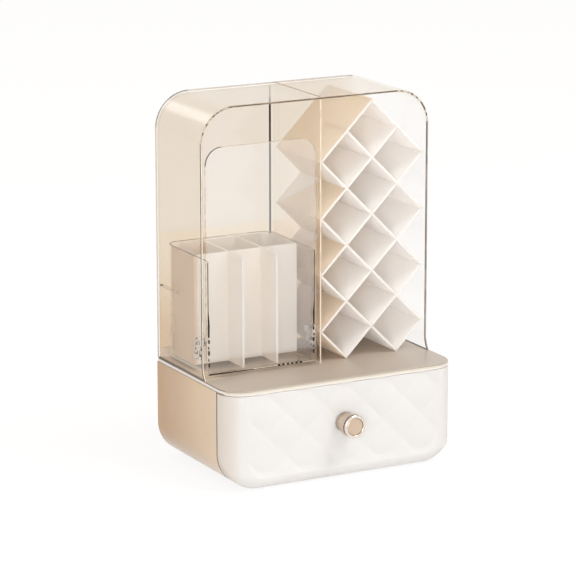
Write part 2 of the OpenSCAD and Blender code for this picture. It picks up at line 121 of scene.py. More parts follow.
class Graph:
    """A material's node tree, with short ways to add to it."""

    def __init__(self, name):
        self.material = bpy.data.materials.new(name)
        self.material.use_nodes = True
        self.tree = self.material.node_tree
        self.tree.nodes.clear()
        self.out = self.add("ShaderNodeOutputMaterial")
        self.coords = self.add("ShaderNodeTexCoord").outputs["Object"]
        self.xyz = None

    def add(self, kind, **settings):
        node = self.tree.nodes.new(kind)
        for key, value in settings.items():
            setattr(node, key, value)
        return node

    def put(self, socket, value):
        """Sets a socket to a number or colour, or links it to another socket."""
        if isinstance(value, bpy.types.NodeSocket):
            self.tree.links.new(value, socket)
        else:
            socket.default_value = value

    def math(self, operation, a, b=0.0, clamp=False):
        node = self.add("ShaderNodeMath", operation=operation, use_clamp=clamp)
        self.put(node.inputs[0], a)
        self.put(node.inputs[1], b)
        return node.outputs[0]

    def axis(self, i):
        """Place along X, Y or Z of the row frame, in metres."""
        if self.xyz is None:
            self.xyz = self.add("ShaderNodeSeparateXYZ")
            self.put(self.xyz.inputs[0], self.coords)
        return self.xyz.outputs[i]

    def band(self, value, low, high, to_low=0.0, to_high=1.0):
        """Smooth step of a value between two limits."""
        node = self.add("ShaderNodeMapRange", interpolation_type="SMOOTHSTEP")
        for socket, v in zip(node.inputs, (value, low, high, to_low, to_high)):
            self.put(socket, v)
        return node.outputs[0]

    def along(self, i, low, high):
        """Smooth step along an axis, between two places in millimetres."""
        return self.band(self.axis(i), low * MM, high * MM)

    def cloud(self, size, share=1.0):
        """Soft patches about size millimetres wide, from 0 to a share."""
        return self.band(self.noise(size, 2.0), 0.3, 0.7, 0.0, share)

    def stretched(self, x, y, z):
        """Place in the row frame, scaled along each axis."""
        node = self.add("ShaderNodeMapping")
        self.put(node.inputs["Vector"], self.coords)
        node.inputs["Scale"].default_value = (x, y, z)
        return node.outputs[0]

    def noise(self, size, detail=3.0, rough=0.5, stretch=None):
        """Noise whose features are about size millimetres wide."""
        node = self.add("ShaderNodeTexNoise")
        self.put(node.inputs["Vector"], self.stretched(*stretch) if stretch else self.coords)
        node.inputs["Scale"].default_value = 1 / (size * MM)
        node.inputs["Detail"].default_value = detail
        node.inputs["Roughness"].default_value = rough
        return node.outputs["Fac"]

    def mix(self, factor, a, b):
        node = self.add("ShaderNodeMix", data_type="RGBA")
        self.put(node.inputs["Factor"], factor)
        self.put(node.inputs[MIX_A], a)
        self.put(node.inputs[MIX_B], b)
        return node.outputs[MIX_OUT]

    def worn(self, low=0.51, high=0.56):
        """1 on convex edges of the mesh, 0 elsewhere."""
        return self.band(self.add("ShaderNodeNewGeometry").outputs["Pointiness"], low, high)

    def bump(self, height, strength, depth):
        node = self.add("ShaderNodeBump")
        node.inputs["Strength"].default_value = strength
        node.inputs["Distance"].default_value = depth * MM
        self.put(node.inputs["Height"], height)
        return node.outputs[0]

    def shader(self, kind, **inputs):
        node = self.add(kind)
        for key, value in inputs.items():
            self.put(node.inputs[key.replace("_", " ")], value)
        return node.outputs[0]

    def blend(self, factor, a, b):
        node = self.add("ShaderNodeMixShader")
        self.put(node.inputs[0], factor)
        self.put(node.inputs[1], a)
        self.put(node.inputs[2], b)
        return node.outputs[0]

    def done(self, surface):
        self.put(self.out.inputs["Surface"], surface)
        return self.material


def plastic(name, base, patch, rough, bumpy=0.12, edge=None, through=0.0, side=None, matt=0.0):
    """Moulded plastic: a tone that drifts slowly, a fine skin, and lighter worn edges.
    through is the share of light that a thin wall lets pass, matt how chalky the skin is, and side a
    painted shade for the brush insert's left wall, behind its front, where it lies in shade behind the
    tinted walls."""
    g = Graph(name)
    drift = g.noise(40, 2.0)
    colour = g.mix(g.band(drift, 0.35, 0.65), base, patch)
    if edge:
        colour = g.mix(g.math("MULTIPLY", g.worn(), 0.6), colour, edge)
    fine = g.noise(0.6, 4.0, 0.6)
    scuffs = g.noise(9.0, 5.0, 0.65, stretch=(1.0, 1.0, 3.0))
    sheen = g.band(scuffs, 0.3, 0.7, rough[0], rough[1])
    if side is not None:
        # Painted shade on the brush insert's left wall
        left = g.math("MULTIPLY", g.along(0, *INSERT_SHADE_LEFT), g.along(1, *INSERT_SHADE_FRONT))
        colour = g.mix(left, colour, side)
    solid = g.shader(
        "ShaderNodeBsdfPrincipled",
        Base_Color=colour,
        Roughness=sheen,
        Diffuse_Roughness=matt,
        Normal=g.bump(fine, bumpy, 0.05),
    )
    if through == 0:
        return g.done(solid)
    return g.done(g.blend(through, solid, g.shader("ShaderNodeBsdfTranslucent", Color=colour)))


def gloss_share(g, least):
    """How much a clear wall mirrors: least head on, most at a grazing angle."""
    facing = g.add("ShaderNodeLayerWeight")
    facing.inputs["Blend"].default_value = 0.5
    rim = g.math("POWER", facing.outputs["Facing"], 5.0)
    return g.math("ADD", g.math("MULTIPLY", rim, GRAZING - least), least)


def clear_surface(g, tint, rough, least, bump):
    """Clear plastic wall as seen through one of its two faces."""
    gloss = g.shader("ShaderNodeBsdfGlossy", Color=(1, 1, 1, 1), Roughness=rough, Normal=bump)
    return g.blend(gloss_share(g, least), g.shader("ShaderNodeBsdfTransparent", Color=tint), gloss)


# Mesh making

# Place in space from an outline's two coordinates and the height along an axis
AXES = {
    "x": lambda a, b, c: (c, a, b),
    "y": lambda a, b, c: (a, c, b),
    "z": lambda a, b, c: (a, b, c),
}


def make(name, points, faces, finish, sharp=35.0):
    """Mesh object from points in millimetres, with one material, or a list of one for each face.
    Edges sharper than the angle stay crisp."""
    mesh = bpy.data.meshes.new(name)
    mesh.from_pydata([Vector(p) * MM for p in points], [], faces)
    each = finish if isinstance(finish, list) else [finish] * len(faces)
    kinds = list(dict.fromkeys(each))
    for material in kinds:
        mesh.materials.append(material)
    mesh.polygons.foreach_set("material_index", [kinds.index(material) for material in each])
    mesh.polygons.foreach_set("use_smooth", [True] * len(mesh.polygons))
    mesh.validate()
    mesh.set_sharp_from_angle(angle=math.radians(sharp))
    piece = bpy.data.objects.new(name, mesh)
    bpy.context.scene.collection.objects.link(piece)
    return piece


def inward(points, distance, closed=True):
    """Outline moved to its left by a distance, corner by corner."""
    out = []
    n = len(points)
    for i, (x, y) in enumerate(points):
        px, py = points[i - 1] if closed or i > 0 else (None, None)
        qx, qy = points[(i + 1) % n] if closed or i < n - 1 else (None, None)
        if px is None:
            px, py = 2 * x - qx, 2 * y - qy
        if qx is None:
            qx, qy = 2 * x - px, 2 * y - py
        a = Vector((x - px, y - py)).normalized()
        b = Vector((qx - x, qy - y)).normalized()
        left_a, left_b = Vector((-a.y, a.x)), Vector((-b.y, b.x))
        move = (left_a + left_b) * (distance / max(1 + left_a.dot(left_b), 0.2))
        out.append((x + move.x, y + move.y))
    return out


def arc(cx, cy, r, start, end, steps):
    """Points along an arc, angles in degrees."""
    angles = [math.radians(start + (end - start) * i / steps) for i in range(steps + 1)]
    return [(cx + r * math.cos(t), cy + r * math.sin(t)) for t in angles]


def rounded(x0, x1, y0, y1, radii, steps=14):
    """Counter-clockwise outline of a rectangle, its radii in that order from the lower left corner."""
    corners = ((x0, y0, 1, 1, 180), (x1, y0, -1, 1, 270), (x1, y1, -1, -1, 0), (x0, y1, 1, -1, 90))
    points = []
    for (x, y, sx, sy, start), r in zip(corners, radii):
        if r > 0:
            points += arc(x + sx * r, y + sy * r, r, start, start + 90, steps)
        else:
            points.append((x, y))
    return points


def slab(name, outline, low, high, bevel, axis, face, rim=None):
    """Plate of a counter-clockwise outline, with its edges cut at 45 degrees.
    rim is a material, or a function of a place on the outline and of the kind: low or high for the
    cut at that face, and rim for what lies between."""
    place = AXES[axis]
    inner = inward(outline, bevel)
    rings = [(inner, low), (outline, low + bevel), (outline, high - bevel), (inner, high)]
    n = len(outline)
    points = [place(a, b, c) for ring, c in rings for a, b in ring]
    faces, finish = [], []
    for k, kind in enumerate(("low", "rim", "high")):
        for i in range(n):
            j = (i + 1) % n
            faces.append((k * n + i, k * n + j, (k + 1) * n + j, (k + 1) * n + i))
            middle = ((outline[i][0] + outline[j][0]) / 2, (outline[i][1] + outline[j][1]) / 2)
            finish.append(rim(*middle, kind) if callable(rim) else rim or face)
    faces += [tuple(reversed(range(n))), tuple(range(3 * n, 4 * n))]
    finish += [face, face]
    if axis == "y":
        faces = [tuple(reversed(f)) for f in faces]
    return make(name, points, faces, finish)


def strip(name, path, thickness, low, high, bevel, axis, face, rim=None):
    """Wall of one thickness that follows an open path, to the left of it, between two heights.
    low and high are functions of the path's two coordinates. rim is a material, or a function of a
    place on the path and of the kind: end, low or high, the last two alone or with the word cut or
    inner for the bevel on the wall's outside or inside."""
    place = AXES[axis]
    rows = [inward(path, d, closed=False) for d in (0, bevel, thickness - bevel, thickness)]
    # Each corner of the section: its row, the low or high end, and 1 where the bevel sets it back
    section = [(0, 0, 1), (0, 1, 1), (1, 1, 0), (2, 1, 0), (3, 1, 1), (3, 0, 1), (2, 0, 0), (1, 0, 0)]
    kinds = [None, "high cut", "high", "high inner", None, "low inner", "low", "low cut"]
    n = len(section)
    points = []
    for i, (p, q) in enumerate(path):
        ends = (low(p, q), high(p, q))
        for row, side, cut in section:
            a, b = rows[row][i]
            points.append(place(a, b, ends[side] + (bevel * cut if side == 0 else -bevel * cut)))
    faces, finish = [], []
    for i in range(len(path) - 1):
        middle = ((path[i][0] + path[i + 1][0]) / 2, (path[i][1] + path[i + 1][1]) / 2)
        for k, kind in enumerate(kinds):
            m = (k + 1) % n
            faces.append((i * n + k, (i + 1) * n + k, (i + 1) * n + m, i * n + m))
            if kind is None:
                finish.append(face)
            else:
                finish.append(rim(*middle, kind) if callable(rim) else rim or face)
    last = (len(path) - 1) * n
    faces += [tuple(range(n)), tuple(last + k for k in reversed(range(n)))]
    finish += [rim(*path[0], "end") if callable(rim) else rim or face] * 2
    if axis == "y":
        faces = [tuple(reversed(f)) for f in faces]
    return make(name, points, faces, finish)


def bow(half, r, z_open, z_far, steps=20, toe=()):
    """Path down one side of a bow, round its far corners and back up the other side."""
    sign = 1 if z_far > z_open else -1
    left = [(-half, z) for z in (z_open, *toe)]
    corner_a = arc(-half + r, z_far - sign * r, r, 180, 180 - sign * 90, steps)
    corner_b = arc(half - r, z_far - sign * r, r, 90 * sign, 0, steps)
    right = [(half, z) for z in (*reversed(toe), z_open)]
    return left + corner_a + corner_b + right


def lathe(name, profile, centre, axis, finish, steps=96, sharp=35.0):
    """Turned piece: profile of (radius, height) pairs from one end to the other.
    finish is a material, or a list of one for each step of the profile."""
    place = AXES[axis]
    points, faces, each, rings = [], [], [], []
    for r, h in profile:
        count = steps if r > 0 else 1
        rings.append(list(range(len(points), len(points) + count)))
        for i in range(count):
            t = 2 * math.pi * i / steps
            points.append(tuple(Vector(centre) + Vector(place(r * math.cos(t), r * math.sin(t), h))))
    for k in range(len(rings) - 1):
        a, b = rings[k], rings[k + 1]
        for i in range(steps):
            j = (i + 1) % steps
            if len(a) == 1:
                faces.append((a[0], b[j], b[i]))
            elif len(b) == 1:
                faces.append((a[i], a[j], b[0]))
            else:
                faces.append((a[i], a[j], b[j], b[i]))
            each.append(finish[k] if isinstance(finish, list) else finish)
    if axis == "y":
        faces = [tuple(reversed(f)) for f in faces]
    return make(name, points, faces, each, sharp)


def joined(name, pieces):
    """One object from several made pieces."""
    bpy.ops.object.select_all(action="DESELECT")
    for piece in pieces:
        piece.select_set(True)
    bpy.context.view_layer.objects.active = pieces[0]
    bpy.ops.object.join()
    pieces[0].name = name
    pieces[0].data.name = name
    return pieces[0]


def seat(piece, body, slot, *replaced):
    """Lets a made piece ride a body and take the place of CAD nodes."""
    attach(piece, body)
    if replaced:
        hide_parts(*replaced)


def dress(node, material, bevel=0.0):
    """Gives a CAD node its finish, and breaks its edges."""
    piece = nodes[node]
    piece.data.materials.clear()
    piece.data.materials.append(material)
    if bevel:
        weld = piece.modifiers.new("weld", "WELD")
        weld.merge_threshold = 0.002 * MM
        cut = piece.modifiers.new("edges", "BEVEL")
        cut.width = bevel * MM
        cut.segments = 2
        cut.limit_method = "ANGLE"
        cut.angle_limit = math.radians(35)
        cut.use_clamp_overlap = True
        cut.harden_normals = True


# Materials


def wrap():
    """Tinted glossy wrap of the housing, with painted shade: deeper towards the back and along its foot."""
    g = Graph("housing_tan")
    # Painted shade: the wrap darkens towards the back and along its foot
    forward = g.along(1, Y_BACK, Y_SEAM - 2)
    above_foot_shade = g.along(2, 1, 16)
    colour = g.mix(forward, rgb(200, 160, 113), rgb(239, 213, 180))
    colour = g.mix(above_foot_shade, rgb(168, 140, 110), colour)
    colour = g.mix(g.cloud(50, 0.25), colour, rgb(206, 184, 160))
    smear = g.noise(16, 5.0, 0.6, stretch=(1.0, 1.0, 0.25))
    return g.done(
        g.shader(
            "ShaderNodeBsdfPrincipled",
            Base_Color=colour,
            Roughness=g.band(smear, 0.3, 0.7, 0.2, 0.27),
            Coat_Weight=0.3,
            Coat_Roughness=0.06,
            Normal=g.bump(g.noise(1.5, 2.0), 0.03, 0.03),
        )
    )


housing_tan = wrap()
# Painted shade: dark brown on the wrap's front bevels, for the shadow in the gap at the drawer front
gap_shade_brown = plastic("gap_shade_brown", rgb(96, 74, 54), rgb(80, 61, 44), (0.3, 0.4))
BOX_EDGE = rgb(247, 244, 238)
box_white = plastic("box_white", rgb(240, 236, 229), rgb(236, 231, 223), (0.35, 0.5), edge=BOX_EDGE)
insert_white = plastic(
    "insert_white",
    rgb(252, 246, 237),
    rgb(250, 243, 233),
    (0.35, 0.48),
    edge=rgb(253, 251, 248),
    through=0.15,
    # Painted shade of the insert's left wall
    side=rgb(240, 216, 182),
)
LATTICE = (rgb(251, 249, 248), rgb(250, 248, 247), (0.3, 0.42))
LATTICE_EDGE = rgb(255, 254, 252)
slat_rising = plastic("slat_rising_white", *LATTICE, edge=LATTICE_EDGE, through=0.28, matt=1.0)
slat_falling = plastic("slat_falling_white", *LATTICE, edge=LATTICE_EDGE, through=0.36, matt=1.0)
lattice_back_white = plastic("lattice_back_white", *LATTICE, edge=LATTICE_EDGE, through=0.85)
# Painted shade: a warmer tone for the slat sides that face the divider
LATTICE_OUTSIDE_SHADE = (rgb(248, 237, 221), rgb(246, 234, 217), (0.3, 0.42))
lattice_outer_shade = plastic("lattice_outer_shade", *LATTICE_OUTSIDE_SHADE, through=0.4, matt=1.0)
slide_plastic = plastic("slide_plastic", rgb(226, 222, 214), rgb(220, 215, 206), (0.3, 0.45))
soft_rubber = plastic("soft_rubber", rgb(196, 189, 180), rgb(188, 181, 171), (0.6, 0.8), bumpy=0.3)


def front_white():
    """Satin white of the drawer front, creamier on the turned sides: painted warm shade."""
    g = Graph("drawer_white")
    colour = g.mix(g.cloud(60), rgb(235, 234, 233), rgb(233, 232, 231))
    # Painted shade: a creamier tone on the sides that turn away from the front
    turned_side_shade = g.band(g.math("ABSOLUTE", g.axis(0)), 106 * MM, 115 * MM)
    colour = g.mix(turned_side_shade, colour, rgb(232, 225, 218))
    smear = g.noise(12, 4.0, 0.6)
    return g.done(
        g.shader(
            "ShaderNodeBsdfPrincipled",
            Base_Color=colour,
            Roughness=g.band(smear, 0.3, 0.7, 0.3, 0.38),
            Coat_Weight=0.1,
            Coat_Roughness=0.12,
            Normal=g.bump(g.noise(0.7, 3.0), 0.04, 0.03),
        )
    )


drawer_white = front_white()


def taupe():
    """Glossy taupe of the deck, with painted light: paler where the hood's left wall throws its light on
    it.
    """
    g = Graph("deck_taupe")
    colour = g.mix(g.cloud(60), rgb(190, 177, 163), rgb(188, 175, 161))
    # Painted light: a paler patch inside the hood's left foot
    inside = g.math("MULTIPLY", g.along(0, -92, -112), g.along(1, -16, -8))
    colour = g.mix(inside, colour, rgb(232, 216, 196))
    smear = g.noise(14, 5.0, 0.65)
    return g.done(
        g.shader(
            "ShaderNodeBsdfPrincipled",
            Base_Color=colour,
            Roughness=g.band(smear, 0.3, 0.7, 0.28, 0.31),
        )
    )


deck_taupe = taupe()
sheet_edge = plastic("sheet_edge", rgb(150, 131, 113), rgb(134, 116, 99), (0.25, 0.35))


def frame_cream():
    """Cream of the deck frame: taupe above runs softly into the white below."""
    g = Graph("deck_cream")
    front = g.mix(g.along(2, 92.6, 96.4), rgb(250, 247, 240), rgb(216, 207, 191))
    side = g.mix(g.along(2, 93.7, 94.1), rgb(150, 126, 102), rgb(250, 246, 243))
    turned = g.band(g.math("ABSOLUTE", g.axis(0)), 117 * MM, 119.4 * MM)
    colour = g.mix(g.cloud(30, 0.3), g.mix(turned, front, side), rgb(238, 228, 216))
    smear = g.noise(12, 4.0, 0.6)
    return g.done(
        g.shader(
            "ShaderNodeBsdfPrincipled",
            Base_Color=colour,
            Roughness=g.band(smear, 0.3, 0.7, 0.26, 0.36),
            Normal=g.bump(g.noise(0.8, 3.0), 0.04, 0.03),
        )
    )


deck_cream = frame_cream()


def metal(name, base, dark, rough, stretch):
    """Turned metal with fine brush lines."""
    g = Graph(name)
    lines = g.noise(1.0, 4.0, 0.6, stretch=stretch)
    colour = g.mix(g.band(lines, 0.3, 0.7), base, dark)
    return g.done(
        g.shader(
            "ShaderNodeBsdfPrincipled",
            Base_Color=colour,
            Metallic=1.0,
            Roughness=g.band(lines, 0.2, 0.8, rough[0], rough[1]),
            Normal=g.bump(lines, 0.12, 0.03),
        )
    )


# How the brush lines are stretched along each axis
AROUND = (0.3, 6.0, 0.3)
knob_metal = metal("knob_metal", rgb(200, 184, 168), rgb(174, 156, 138), (0.2, 0.32), AROUND)
# Lighter and darker copies of the knob metal, laid in bands on the knob: painted light, painted highlight
# and painted shade
knob_painted_light = metal("knob_painted_light", rgb(216, 202, 188), rgb(196, 180, 164), (0.2, 0.3), AROUND)
knob_bright = metal("knob_bright", rgb(240, 230, 218), rgb(226, 212, 198), (0.12, 0.2), AROUND)
knob_painted_shade = metal("knob_painted_shade", rgb(92, 76, 62), rgb(60, 49, 40), (0.25, 0.4), AROUND)
ACROSS = (0.6, 0.6, 3.0)
FINE = (3.0, 3.0, 3.0)
knob_face_metal = metal("knob_face_metal", rgb(219, 197, 175), rgb(212, 189, 166), (0.3, 0.4), ACROSS)
screw_steel = metal("screw_steel", rgb(206, 204, 202), rgb(180, 178, 176), (0.22, 0.36), FINE)


NO_TINT = (0.995, 0.99, 0.985, 1)


def tinted(name, high, low, far=None, painted_washout=None, rough=0.06, least=0.03):
    """Tinted clear wall: deeper below a soft line, a painted reflection of the horizon behind, and running
    out to the right under painted light. low is its tint at the foot and at that line, far its high and low
    tints in the right-hand bay, and painted_washout the two places, from left to right, between which the
    tint runs out."""
    g = Graph(name)
    # Painted reflection: the wall is deeper in tint below the reflected horizon
    step = g.along(2, *REFLECTED_HORIZON)
    deep = g.along(2, 100, 214)
    tint = g.mix(step, g.mix(deep, low[0], low[1]), high)
    if far:
        beyond = g.mix(step, g.mix(deep, far[1], far[2]), far[0])
        right_bay = g.along(0, 2, 4)
        tint = g.mix(right_bay, tint, beyond)
    tint = g.mix(g.cloud(120, 0.12), tint, (1, 1, 1, 1))
    # Painted light: the tint runs out towards the right
    if painted_washout:
        tint = g.mix(g.along(0, *painted_washout), tint, NO_TINT)
    ripple = g.bump(g.noise(70, 1.0), 0.1, 0.2)
    return g.done(clear_surface(g, tint, rough, least, ripple))


# Tints below the reflected horizon, at the foot and at the line: a painted reflection
HOOD_LOW = ((0.97, 0.955, 0.935, 1), (0.97, 0.955, 0.94, 1))
BACK_LOW = ((0.813, 0.686, 0.54, 1), (0.916, 0.845, 0.735, 1))
BACK_FAR = ((0.925, 0.88, 0.815, 1), (0.9, 0.8, 0.67, 1), (0.92, 0.84, 0.735, 1))
HOOD_FAR = ((0.95, 0.915, 0.865, 1), *HOOD_LOW)
HOOD_HIGH = (0.966, 0.945, 0.91, 1)
DIVIDER_LOW = ((0.96, 0.94, 0.92, 1), (0.965, 0.945, 0.925, 1))
hood_tint = tinted("hood_tint", HOOD_HIGH, HOOD_LOW, far=HOOD_FAR, painted_washout=(98, 116), rough=0.22, least=0.06)
back_tint = tinted("back_tint", (0.904, 0.854, 0.794, 1), BACK_LOW, far=BACK_FAR, painted_washout=(72, 100))
divider_tint = tinted("divider_tint", (0.98, 0.97, 0.955, 1), DIVIDER_LOW)


def painted_edge_and_joint(name, solid, other, dash, share, cover):
    """Cut edge of clear plastic, drawn in painted reflections: the dark and light that refraction shows
    along a clear edge; edge_joint and edge_seam are glued joints. Runs of one tone alternate with runs of
    another along it, each about dash millimetres long. share is the part that the first tone takes, and
    cover is how solid the first and the second are."""
    g = Graph(name)
    middle = (share - 0.5) * 0.5
    runs = g.band(g.noise(dash, 1.0, 0.5), 0.47 + middle, 0.5 + middle)
    how_solid = g.band(runs, 0, 1, cover[0], cover[1])
    tone = g.shader(
        "ShaderNodeBsdfPrincipled",
        Base_Color=g.mix(runs, solid, other),
        Roughness=0.4,
        Specular_IOR_Level=0.2,
    )
    bare = g.shader("ShaderNodeBsdfTransparent", Color=(0.97, 0.95, 0.92, 1))
    return g.done(g.blend(how_solid, bare, tone))


# Tones of the painted reflections along clear edges
NEAR_BLACK = rgb(38, 32, 28)
BROWN = rgb(112, 96, 80)
GREY_BROWN = rgb(138, 126, 114)
FAWN = rgb(192, 174, 152)
CREAM = rgb(246, 234, 216)
PALE = rgb(253, 250, 246)

edge_solid = painted_edge_and_joint("edge_solid", rgb(74, 65, 58), rgb(96, 86, 76), 20, 0.7, (0.95, 0.9))
edge_near_black = painted_edge_and_joint("edge_near_black", NEAR_BLACK, BROWN, 9, 0.6, (0.9, 0.7))
edge_dashes = painted_edge_and_joint("edge_dashes", NEAR_BLACK, PALE, 3.2, 0.5, (0.95, 0.85))
edge_beads = painted_edge_and_joint("edge_beads", NEAR_BLACK, rgb(206, 190, 168), 3.6, 0.5, (0.97, 0.65))
edge_brown = painted_edge_and_joint("edge_brown", BROWN, FAWN, 14, 0.65, (0.8, 0.6))
edge_umber = painted_edge_and_joint("edge_umber", rgb(92, 78, 66), rgb(122, 106, 90), 16, 0.7, (0.95, 0.85))
edge_grey = painted_edge_and_joint("edge_grey", GREY_BROWN, rgb(158, 146, 133), 20, 0.6, (0.85, 0.8))
edge_fawn = painted_edge_and_joint("edge_fawn", FAWN, rgb(212, 198, 180), 12, 0.5, (0.75, 0.6))
edge_cream = painted_edge_and_joint("edge_cream", CREAM, rgb(236, 222, 202), 16, 0.6, (0.85, 0.75))
edge_veil = painted_edge_and_joint("edge_veil", rgb(204, 188, 168), rgb(196, 180, 160), 30, 0.5, (0.7, 0.6))
edge_shade = painted_edge_and_joint("edge_shade", rgb(196, 168, 138), rgb(188, 160, 130), 30, 0.5, (0.8, 0.7))
edge_light = painted_edge_and_joint("edge_light", rgb(255, 248, 235), rgb(251, 240, 224), 30, 0.5, (0.95, 0.9))
edge_joint = painted_edge_and_joint("edge_joint", rgb(34, 26, 20), rgb(48, 38, 30), 30, 0.6, (0.98, 0.96))
edge_seam = painted_edge_and_joint("edge_seam", rgb(140, 118, 96), rgb(150, 128, 106), 30, 0.6, (0.9, 0.85))
edge_faint = painted_edge_and_joint("edge_faint", FAWN, CREAM, 10, 0.5, (0.3, 0.2))


def clear(name, tint, right=None, least=0.04, rough=0.04):
    """Clear plastic with a faint flow in its tint. right is a deeper tint for the bin's right-hand wall, a
    painted reflection.
    """
    g = Graph(name)
    paler = tuple(c + (1 - c) * 0.4 for c in tint[:3]) + (1,)
    colour = g.mix(g.cloud(90), tint, paler)
    if right:
        # Painted reflection: a deeper tint on the bin's right-hand wall
        colour = g.mix(g.along(0, -6, -4), colour, right)
    ripple = g.bump(g.noise(40, 2.0), 0.12, 0.2)
    return g.done(clear_surface(g, colour, rough, least, ripple))


clear_plastic = clear("clear_plastic", (0.985, 0.98, 0.97, 1), right=(0.88, 0.845, 0.8, 1))
lug_plastic = clear("lug_plastic", (0.95, 0.925, 0.89, 1), least=0.16)
flap_plastic = clear("flap_plastic", (0.998, 0.995, 0.993, 1), least=0.13, rough=0.08)

# Base

housing = strip(
    "housing_wrap",
    bow(HALF_W, BASE_R, Z_SIDE, Z_BASE),
    SHELL_WALL,
    lambda x, z: Y_SEAM,
    lambda x, z: Y_BACK,
    0.6,
    "y",
    housing_tan,
    # The wrap's front bevels take the painted gap shade
    lambda x, z, kind: gap_shade_brown if kind.startswith("low") else housing_tan,
)
seat(housing, "base", "housing_tan", "housing_shell")

# The rear cover lies inside the wrap with a small gap
COVER_IN = SHELL_WALL + 0.1
COVER_HALF = HALF_W - COVER_IN
COVER_R = BASE_R - COVER_IN
COVER_T = 2.4
COVER = rounded(-COVER_HALF, COVER_HALF, Z_BASE + COVER_IN, Z_SIDE, (COVER_R, COVER_R, 0, 0))
cover = slab("rear_cover_plate", COVER, Y_BACK - COVER_T, Y_BACK, 0.5, "y", housing_tan)
seat(cover, "base", "housing_tan", "rear_cover")

dress("deck_frame", deck_cream, 0.2)


# Where the sheet's edge turns dark: this far out to the sides, and behind its front corners
SHEET_DARK_X = 95
SHEET_DARK_Y = -52


def sheet_rim(x, y, kind):
    """Darker edge along the sheet's sides."""
    return sheet_edge if abs(x) > SHEET_DARK_X and y > SHEET_DARK_Y else deck_taupe


SHEET = (-HALF_W + SHEET_INSET, HALF_W - SHEET_INSET, Y_FRONT + SHEET_INSET, Y_BACK - SHEET_INSET)
SHEET_R = (DECK_R - SHEET_INSET, DECK_R - SHEET_INSET, DECK_BACK_R, DECK_BACK_R)
sheet = slab("deck_sheet_gloss", rounded(*SHEET, SHEET_R), Z_SHEET, Z_DECK, 0.3, "z", deck_taupe, sheet_rim)
seat(sheet, "base", "deck_taupe", "deck_sheet")

dress("feet", soft_rubber, 0.3)
dress("drawer_buffers", soft_rubber, 0.2)
dress("glide_rails", slide_plastic, 0.15)

# Drawer

TOP_EDGE_R = 0.6
PILLOW = 1.3
PANEL_STEP = 0.3


def rim_depth(x, z):
    """How far the drawer front's face falls back from its foremost plane."""
    side = abs(x) - (HALF_W - DECK_R)
    depth = DECK_R - math.sqrt(max(DECK_R**2 - side**2, 0)) if side > 0 else 0.0
    centre_z = Z_BASE + BASE_R
    if z < centre_z:
        inside = BASE_R - math.hypot(max(abs(x) - (HALF_W - BASE_R), 0), centre_z - z)
        if inside < FRONT_EDGE_R:
            fall = FRONT_EDGE_R - max(inside, 0)
            depth = max(depth, FRONT_EDGE_R - math.sqrt(max(FRONT_EDGE_R**2 - fall**2, 0)))
    top = z - (FRONT_TOP - TOP_EDGE_R)
    if top > 0:
        depth = max(depth, TOP_EDGE_R - math.sqrt(max(TOP_EDGE_R**2 - top**2, 0)))
    return depth


def panel_inside(x, z):
    """Distance inside the quilted panel's outline, negative outside."""
    side = QUILT_SIDE - abs(x)
    foot = z - QUILT_FOOT
    if side < QUILT_R and foot < QUILT_R:
        return QUILT_R - math.hypot(QUILT_R - side, QUILT_R - foot)
    return min(side, foot)


def quilt_depth(x, z):
    """Soft pillows between crossing 45 degree channels, and a fine step round the panel."""
    inside = panel_inside(x, z)
    if inside <= 0:
        return 0.0
    a = ((x + z - QUILT_Z) / QUILT_PITCH) % 1
    b = ((x - z + QUILT_Z) / QUILT_PITCH) % 1
    crown = math.sin(math.pi * a) ** 0.8 * (0.55 + 0.45 * math.sin(math.pi * b) ** 0.9)
    return PILLOW * (1 - crown) * min(1.0, inside / 5) + PANEL_STEP * min(1.0, inside / 0.9)


def quarter(steps):
    """Angles of a quarter turn in equal steps."""
    return [math.radians(90 * i / steps) for i in range(steps + 1)]


